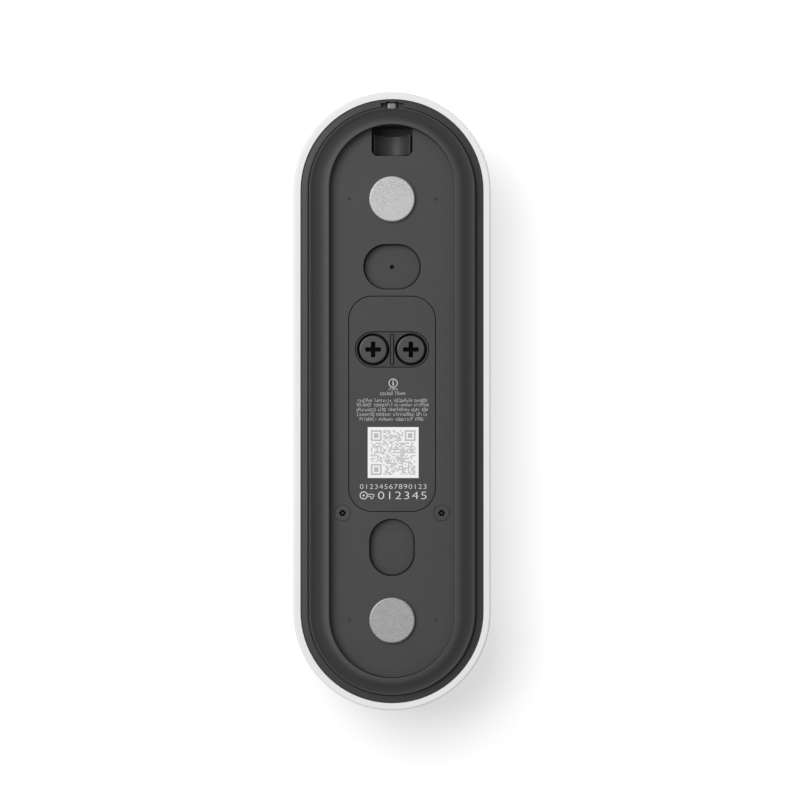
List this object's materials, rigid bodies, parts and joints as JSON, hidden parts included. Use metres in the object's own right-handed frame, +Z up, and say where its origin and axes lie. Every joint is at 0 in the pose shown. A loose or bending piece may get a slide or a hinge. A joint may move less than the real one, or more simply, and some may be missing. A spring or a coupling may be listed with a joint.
{
  "type": "wired video doorbell",
  "caption": "Pill-shaped wired video doorbell with a gasketed wall side, wire terminals, latch pocket, camera window, loudspeaker and a sprung push button.",
  "frame": {"origin": "middle of the wall face: the plane of the rear gasket's crest, centred on the case", "axes": "+Z up along the case, +Y into the wall, -Y out of the camera and button side, +X to the visitor's right as they face the doorbell"},
  "size_m": [0.0418, 0.0274, 0.131],
  "materials": {
    "case_white": "fine matte moulded polycarbonate",
    "bezel_plastic": "dark grey fine texture",
    "cover_plastic": "dark grey fine texture",
    "gasket_rubber": "dark grey soft elastomer",
    "label_plastic": "dark grey with light print",
    "plate_metal": "satin",
    "black_screw": "black oxide",
    "plated_steel": "zinc plated",
    "bright_steel": "polished",
    "terminal_plastic": "black",
    "terminal_brass": "tinned brass",
    "board": "solder mask",
    "chip_black": "moulded resin",
    "shield_tin": "tinned",
    "aluminium": "plain",
    "cell_wrap": "shrink wrap",
    "flex_amber": "polyimide",
    "antenna_copper": "etched copper",
    "chassis_plastic": "glass filled nylon",
    "window_smoked": "smoked and glossy",
    "lens_glass": "coated",
    "lens_black": "anodised black",
    "light_guide": "translucent diffuser",
    "button_white": "satin",
    "silicone": "soft",
    "led_resin": "clear resin",
    "magnet_steel": "nickel plated",
    "speaker_paper": "coated film",
    "mesh_fabric": "acoustic mesh",
    "winding_copper": "enamelled copper"
  },
  "bodies": {
    "case": {"front_housing": "case_white", "camera_window": "window_smoked", "rear_bezel": "bezel_plastic", "cover_seal": "silicone", "rear_cover": "cover_plastic", "wall_gasket": "gasket_rubber", "label_insert": "label_plastic", "upper_magnet": "plate_metal", "lower_magnet": "plate_metal", "cover_screws": "black_screw", "terminal_block": "terminal_plastic", "terminal_tabs": "terminal_brass", "release_spring": "bright_steel", "reset_switch": "chip_black", "power_board": "board", "transformer": "winding_copper", "capacitors": "aluminium", "bridge_rectifier": "chip_black", "board_connector": "chip_black", "main_board": "board", "processor_shield": "shield_tin", "heat_spreader": "aluminium", "backup_cell": "cell_wrap", "microphone": "shield_tin", "microphone_boot": "silicone", "wifi_antenna": "antenna_copper", "chassis": "chassis_plastic", "chassis_screws": "plated_steel", "camera_board": "board", "image_sensor": "chip_black", "camera_holder": "lens_black", "ir_filter": "lens_glass", "lens_barrel": "lens_black", "front_lens": "lens_glass", "lens_hood": "lens_black", "ir_board": "board", "ir_leds": "led_resin", "light_sensor": "chip_black", "camera_flex": "flex_amber", "light_ring": "light_guide", "button_seal": "silicone", "button_frame": "chassis_plastic", "button_board": "board", "ring_leds": "led_resin", "button_switch": "chip_black", "button_flex": "flex_amber", "speaker_basket": "chassis_plastic", "speaker_magnet": "magnet_steel", "speaker_gasket": "silicone", "speaker_mesh": "mesh_fabric"},
    "doorbell_button": {"button_cap": "button_white"},
    "button_plunger_body": {"button_plunger": "button_white"},
    "release_pin_body": {"release_pin": "bright_steel"},
    "reset_plunger_body": {"reset_plunger": "chip_black"},
    "left_clamp": {"clamp_washer_left": "plated_steel"},
    "left_screw": {"terminal_screw_left": "black_screw"},
    "right_clamp": {"clamp_washer_right": "plated_steel"},
    "right_screw": {"terminal_screw_right": "black_screw"},
    "speaker_diaphragm": {"speaker_cone": "speaker_paper", "voice_coil": "winding_copper"}
  },
  "joints": [
    {"name": "button_press", "type": "slide", "parent": "case", "child": "doorbell_button", "axis": [0, 1, 0], "range_m": [0, 0.0005], "stiffness_N_per_m": 3000, "springref_m": -0.0003},
    {"name": "button_plunger_press", "type": "slide", "parent": "case", "child": "button_plunger_body", "axis": [0, 1, 0], "range_m": [0, 0.0005]},
    {"name": "release_pin_press", "type": "slide", "parent": "case", "child": "release_pin_body", "axis": [0, 0, -1], "range_m": [0, 0.0012], "stiffness_N_per_m": 400, "springref_m": -0.0005, "deforming": ["release_spring"]},
    {"name": "reset_press", "type": "slide", "parent": "case", "child": "reset_plunger_body", "axis": [0, -1, 0], "range_m": [0, 0.0003], "stiffness_N_per_m": 4000, "springref_m": -0.0002},
    {"name": "left_clamp_lift", "type": "slide", "parent": "case", "child": "left_clamp", "axis": [0, 1, 0], "range_m": [0, 0.0018]},
    {"name": "left_screw_turn", "type": "hinge", "parent": "left_clamp", "child": "left_screw", "pos_m": [0.004, -0.0046, 0.01097], "axis": [0, 1, 0], "range_deg": [0, 1080]},
    {"name": "right_clamp_lift", "type": "slide", "parent": "case", "child": "right_clamp", "axis": [0, 1, 0], "range_m": [0, 0.0018]},
    {"name": "right_screw_turn", "type": "hinge", "parent": "right_clamp", "child": "right_screw", "pos_m": [-0.004, -0.0046, 0.01097], "axis": [0, 1, 0], "range_deg": [0, 1080]},
    {"name": "diaphragm_travel", "type": "slide", "parent": "case", "child": "speaker_diaphragm", "axis": [0, 0, -1], "range_m": [-0.00025, 0.00025], "stiffness_N_per_m": 1200}
  ],
  "couplings": [
    {"joint": "button_plunger_press", "follows": "button_press", "ratio": 1},
    {"joint": "left_screw_turn", "follows": "left_clamp_lift", "rad_per_m": 10472},
    {"joint": "right_screw_turn", "follows": "right_clamp_lift", "rad_per_m": 10472}
  ]
}
